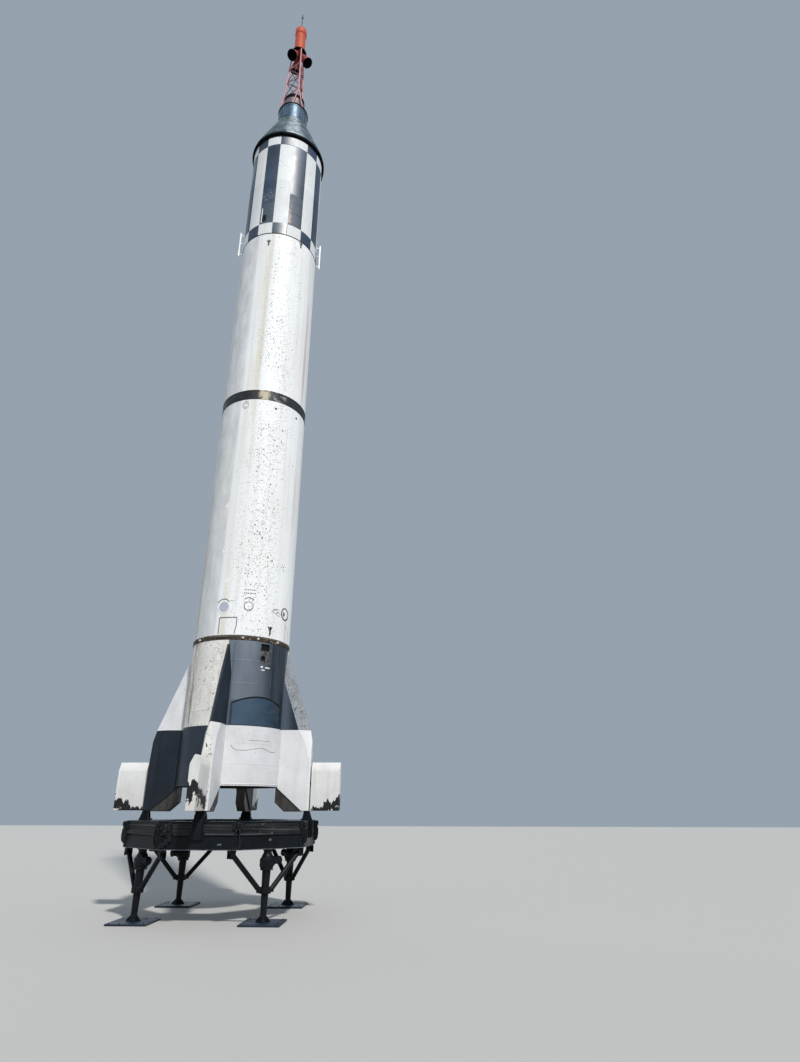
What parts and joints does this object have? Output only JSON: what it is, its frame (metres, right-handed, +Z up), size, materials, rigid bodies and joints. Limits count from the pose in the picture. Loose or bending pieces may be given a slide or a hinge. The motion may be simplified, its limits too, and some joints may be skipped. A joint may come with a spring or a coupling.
{
  "type": "single-stage crewed space rocket on its launch table",
  "caption": "Upright liquid-fuelled space rocket: finned tail with air rudders and jet vanes, long round body, crew capsule, escape tower, and the octagonal launch table it stands on.",
  "frame": {"origin": "on the ground, under the rocket's axis, in the middle of the launch table's four feet", "axes": "+Z up along the rocket's axis; the four fins stand on +X, +Y, -X and -Y, and the table's legs stand between them"},
  "size_m": [3.95, 3.95, 24.095],
  "materials": {
    "table_paint": "weathered black gloss",
    "foot_metal": "weathered bare metal",
    "fin_paint": "weathered white and black",
    "vane_carbon": "matt carbon",
    "body_paint": "weathered satin white and black",
    "ring_paint": "satin black",
    "engine_metal": "dull heat-stained metal",
    "capsule_metal": "dark ribbed shingles",
    "recovery_metal": "blue-grey metal",
    "canister_metal": "faded grey-brown",
    "tower_paint": "faded red",
    "motor_paint": "satin orange-red",
    "spike_metal": "dull metal",
    "antenna_paint": "satin white"
  },
  "bodies": {
    "rocket_on_table": {"table_ring": "table_paint", "table_leg_1": "table_paint", "table_leg_2": "table_paint", "table_leg_3": "table_paint", "table_leg_4": "table_paint", "leg_braces_1": "table_paint", "leg_braces_2": "table_paint", "leg_braces_3": "table_paint", "leg_braces_4": "table_paint", "fin_support_1": "table_paint", "fin_support_2": "table_paint", "fin_support_3": "table_paint", "fin_support_4": "table_paint", "fin_foot_1": "foot_metal", "fin_foot_2": "foot_metal", "fin_foot_3": "foot_metal", "fin_foot_4": "foot_metal", "fin_1": "fin_paint", "fin_2": "fin_paint", "fin_3": "fin_paint", "fin_4": "fin_paint", "tail_skirt": "body_paint", "lower_body": "body_paint", "upper_body": "body_paint", "aft_band": "body_paint", "instrument_body": "body_paint", "adapter_band": "body_paint", "tail_ring": "ring_paint", "mid_ring": "ring_paint", "capsule_ring": "ring_paint", "engine_block": "engine_metal", "engine_nozzle": "engine_metal", "escape_nozzles": "engine_metal", "capsule_cone": "capsule_metal", "recovery_cylinder": "recovery_metal", "antenna_canister": "canister_metal", "escape_tower": "tower_paint", "escape_motor": "motor_paint", "spike": "spike_metal", "antenna_bar_1": "antenna_paint", "antenna_bar_2": "antenna_paint"},
    "air_rudder_1": {"rudder_1": "fin_paint"},
    "exhaust_vane_1": {"jet_vane_1": "vane_carbon"},
    "air_rudder_2": {"rudder_2": "fin_paint"},
    "exhaust_vane_2": {"jet_vane_2": "vane_carbon"},
    "air_rudder_3": {"rudder_3": "fin_paint"},
    "exhaust_vane_3": {"jet_vane_3": "vane_carbon"},
    "air_rudder_4": {"rudder_4": "fin_paint"},
    "exhaust_vane_4": {"jet_vane_4": "vane_carbon"}
  },
  "joints": [
    {"name": "rudder_1_turn", "type": "hinge", "parent": "rocket_on_table", "child": "air_rudder_1", "pos_m": [1.47, 0, 2.01], "axis": [1, 0, 0], "range_deg": [-25, 25]},
    {"name": "vane_1_turn", "type": "hinge", "parent": "rocket_on_table", "child": "exhaust_vane_1", "pos_m": [0.35, 0, 2.08], "axis": [1, 0, 0], "range_deg": [-25, 25]},
    {"name": "rudder_2_turn", "type": "hinge", "parent": "rocket_on_table", "child": "air_rudder_2", "pos_m": [0, 1.47, 2.01], "axis": [0, 1, 0], "range_deg": [-25, 25]},
    {"name": "vane_2_turn", "type": "hinge", "parent": "rocket_on_table", "child": "exhaust_vane_2", "pos_m": [0, 0.35, 2.08], "axis": [0, 1, 0], "range_deg": [-25, 25]},
    {"name": "rudder_3_turn", "type": "hinge", "parent": "rocket_on_table", "child": "air_rudder_3", "pos_m": [-1.47, 0, 2.01], "axis": [-1, 0, 0], "range_deg": [-25, 25]},
    {"name": "vane_3_turn", "type": "hinge", "parent": "rocket_on_table", "child": "exhaust_vane_3", "pos_m": [-0.35, 0, 2.08], "axis": [-1, 0, 0], "range_deg": [-25, 25]},
    {"name": "rudder_4_turn", "type": "hinge", "parent": "rocket_on_table", "child": "air_rudder_4", "pos_m": [0, -1.47, 2.01], "axis": [0, -1, 0], "range_deg": [-25, 25]},
    {"name": "vane_4_turn", "type": "hinge", "parent": "rocket_on_table", "child": "exhaust_vane_4", "pos_m": [0, -0.35, 2.08], "axis": [0, -1, 0], "range_deg": [-25, 25]}
  ],
  "couplings": [
    {"joint": "vane_1_turn", "follows": "rudder_1_turn", "ratio": 1},
    {"joint": "vane_2_turn", "follows": "rudder_2_turn", "ratio": 1},
    {"joint": "vane_3_turn", "follows": "rudder_3_turn", "ratio": 1},
    {"joint": "vane_4_turn", "follows": "rudder_4_turn", "ratio": 1}
  ]
}
